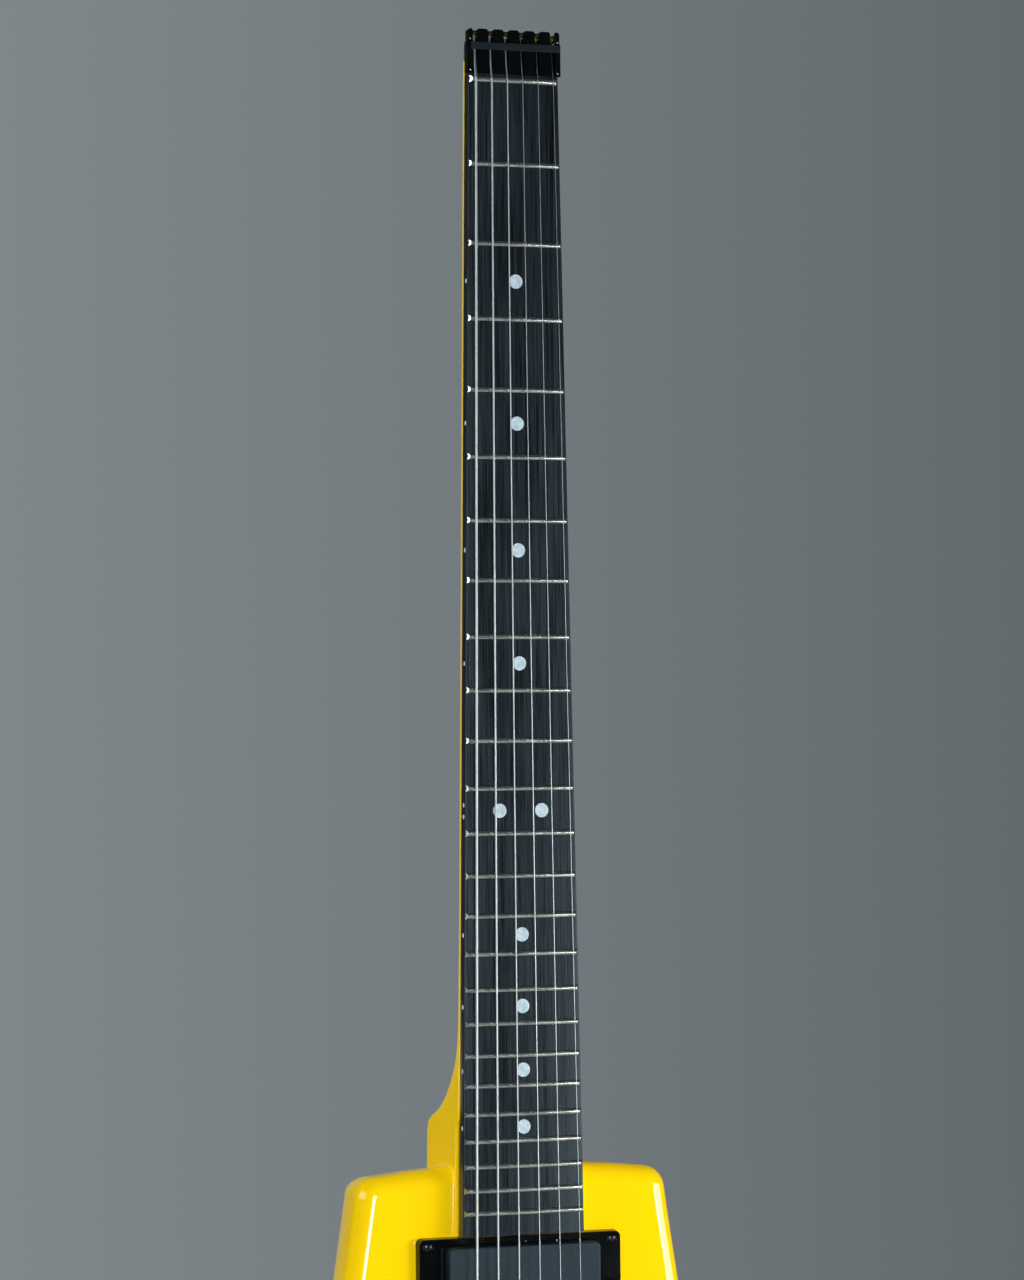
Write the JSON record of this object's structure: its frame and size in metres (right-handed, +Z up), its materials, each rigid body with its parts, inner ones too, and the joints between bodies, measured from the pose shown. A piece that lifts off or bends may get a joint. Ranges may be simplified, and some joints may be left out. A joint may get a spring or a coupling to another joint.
{
  "type": "headless electric guitar",
  "caption": "Headless electric guitar with a tapered gloss-lacquered body, fretted neck, pickups, tail tuners and a sprung vibrato bridge.",
  "frame": {"origin": "on the centreline, in the plane of the body's flat back, level with the body's lower end, where a stand holds it", "axes": "+Z up along the neck, -Y out of the front with the strings, +X to the treble side"},
  "size_m": [0.197, 0.0848, 0.7687],
  "materials": {
    "lacquer": "gloss yellow lacquer on wood",
    "neck_lacquer": "gloss yellow lacquer on maple",
    "fingerboard": "near black, fine lengthwise grain, satin",
    "fret_wire": "polished nickel silver",
    "tool_steel": "plain steel",
    "black_hardware": "black plating, gloss",
    "satin_hardware": "black plating, satin",
    "bright_steel": "nickel plated steel",
    "ring_plastic": "gloss black",
    "cover_plastic": "matte dark grey, fine texture"
  },
  "bodies": {
    "root": {"body": "lacquer", "neck": "neck_lacquer", "fingerboard": "fingerboard", "zero_fret": "fret_wire", "truss_rod": "tool_steel", "headpiece": "black_hardware", "headpiece_clamp": "satin_hardware", "string_1": "bright_steel", "string_2": "bright_steel", "string_3": "bright_steel", "string_4": "bright_steel", "string_5": "bright_steel", "string_6": "bright_steel", "neck_pickup_ring": "ring_plastic", "neck_pickup": "cover_plastic", "middle_pickup": "cover_plastic", "bridge_pickup_ring": "ring_plastic", "bridge_pickup": "cover_plastic", "pivot_stud_bass": "black_hardware", "pivot_stud_treble": "black_hardware", "spring_claw": "tool_steel", "tremolo_spring_bass": "bright_steel", "tremolo_spring_treble": "bright_steel", "spring_cover": "cover_plastic", "control_cover": "cover_plastic", "output_jack": "black_hardware", "strap_button_tail": "black_hardware", "strap_button_heel": "black_hardware", "volume_pot": "tool_steel", "tone_pot": "tool_steel", "selector_switch": "tool_steel"},
    "tremolo": {"bridge_base": "black_hardware", "tremolo_block": "tool_steel", "arm_socket": "black_hardware", "saddle_1": "black_hardware", "saddle_2": "black_hardware", "saddle_3": "black_hardware", "saddle_4": "black_hardware", "saddle_5": "black_hardware", "saddle_6": "black_hardware"},
    "jaw_1": {"jaw_1": "bright_steel"},
    "jaw_2": {"jaw_2": "bright_steel"},
    "jaw_3": {"jaw_3": "bright_steel"},
    "jaw_4": {"jaw_4": "bright_steel"},
    "jaw_5": {"jaw_5": "bright_steel"},
    "jaw_6": {"jaw_6": "bright_steel"},
    "tuner_1": {"tuner_knob_1": "black_hardware"},
    "tuner_2": {"tuner_knob_2": "black_hardware"},
    "tuner_3": {"tuner_knob_3": "black_hardware"},
    "tuner_4": {"tuner_knob_4": "black_hardware"},
    "tuner_5": {"tuner_knob_5": "black_hardware"},
    "tuner_6": {"tuner_knob_6": "black_hardware"},
    "arm": {"tremolo_arm": "bright_steel"},
    "volume": {"volume_knob": "black_hardware"},
    "tone": {"tone_knob": "black_hardware"},
    "selector": {"selector_lever": "tool_steel"},
    "leg": {"leg_rest": "ring_plastic"},
    "lock": {"lock_lever": "black_hardware"}
  },
  "joints": [
    {"name": "tremolo_pivot", "type": "hinge", "parent": "root", "child": "tremolo", "pos_m": [0, -0.0405, 0.103], "axis": [1, 0, 0], "range_deg": [-10, 5], "stiffness_Nm_per_rad": 15, "deforming": ["tremolo_spring_bass", "tremolo_spring_treble", "string_1", "string_2", "string_3", "string_4", "string_5", "string_6"]},
    {"name": "tuner_1_turn", "type": "hinge", "parent": "tremolo", "child": "tuner_1", "pos_m": [0.0251, -0.047, 0.008], "axis": [0, 0, 1], "range_deg": [-1530, 1530]},
    {"name": "tuner_2_turn", "type": "hinge", "parent": "tremolo", "child": "tuner_2", "pos_m": [0.01506, -0.047, 0.008], "axis": [0, 0, 1], "range_deg": [-1530, 1530]},
    {"name": "tuner_3_turn", "type": "hinge", "parent": "tremolo", "child": "tuner_3", "pos_m": [0.00502, -0.047, 0.008], "axis": [0, 0, 1], "range_deg": [-1530, 1530]},
    {"name": "tuner_4_turn", "type": "hinge", "parent": "tremolo", "child": "tuner_4", "pos_m": [-0.00502, -0.047, 0.008], "axis": [0, 0, 1], "range_deg": [-1530, 1530]},
    {"name": "tuner_5_turn", "type": "hinge", "parent": "tremolo", "child": "tuner_5", "pos_m": [-0.01506, -0.047, 0.008], "axis": [0, 0, 1], "range_deg": [-1530, 1530]},
    {"name": "tuner_6_turn", "type": "hinge", "parent": "tremolo", "child": "tuner_6", "pos_m": [-0.0251, -0.047, 0.008], "axis": [0, 0, 1], "range_deg": [-1530, 1530]},
    {"name": "jaw_1_slide", "type": "slide", "parent": "tremolo", "child": "jaw_1", "axis": [0, 0, 1], "range_m": [-0.003, 0.003]},
    {"name": "jaw_2_slide", "type": "slide", "parent": "tremolo", "child": "jaw_2", "axis": [0, 0, 1], "range_m": [-0.003, 0.003]},
    {"name": "jaw_3_slide", "type": "slide", "parent": "tremolo", "child": "jaw_3", "axis": [0, 0, 1], "range_m": [-0.003, 0.003]},
    {"name": "jaw_4_slide", "type": "slide", "parent": "tremolo", "child": "jaw_4", "axis": [0, 0, 1], "range_m": [-0.003, 0.003]},
    {"name": "jaw_5_slide", "type": "slide", "parent": "tremolo", "child": "jaw_5", "axis": [0, 0, 1], "range_m": [-0.003, 0.003]},
    {"name": "jaw_6_slide", "type": "slide", "parent": "tremolo", "child": "jaw_6", "axis": [0, 0, 1], "range_m": [-0.003, 0.003]},
    {"name": "arm_swing", "type": "hinge", "parent": "tremolo", "child": "arm", "pos_m": [0.036, -0.045, 0.084], "axis": [0, -1, 0], "range_deg": [-95, 75]},
    {"name": "volume_turn", "type": "hinge", "parent": "root", "child": "volume", "pos_m": [0.061, -0.0408, 0.12], "axis": [0, -1, 0], "range_deg": [0, 300]},
    {"name": "tone_turn", "type": "hinge", "parent": "root", "child": "tone", "pos_m": [0.061, -0.0408, 0.082], "axis": [0, -1, 0], "range_deg": [0, 300]},
    {"name": "selector_rock", "type": "hinge", "parent": "root", "child": "selector", "pos_m": [0.061, -0.03, 0.156], "axis": [1, 0, 0], "range_deg": [-25, 25]},
    {"name": "leg_rest_fold", "type": "hinge", "parent": "root", "child": "leg", "pos_m": [0.09321, -0.0125, 0.0297], "axis": [-0.0845, 0, 0.9964], "range_deg": [0, 90]},
    {"name": "lock_swing", "type": "hinge", "parent": "root", "child": "lock", "pos_m": [-0.047, -0.043, 0.07], "axis": [0, 1, 0], "range_deg": [0, 90]}
  ],
  "couplings": [
    {"joint": "jaw_1_slide", "follows": "tuner_1_turn", "m_per_rad": -0.00011141},
    {"joint": "jaw_2_slide", "follows": "tuner_2_turn", "m_per_rad": -0.00011141},
    {"joint": "jaw_3_slide", "follows": "tuner_3_turn", "m_per_rad": -0.00011141},
    {"joint": "jaw_4_slide", "follows": "tuner_4_turn", "m_per_rad": -0.00011141},
    {"joint": "jaw_5_slide", "follows": "tuner_5_turn", "m_per_rad": -0.00011141},
    {"joint": "jaw_6_slide", "follows": "tuner_6_turn", "m_per_rad": -0.00011141}
  ]
}
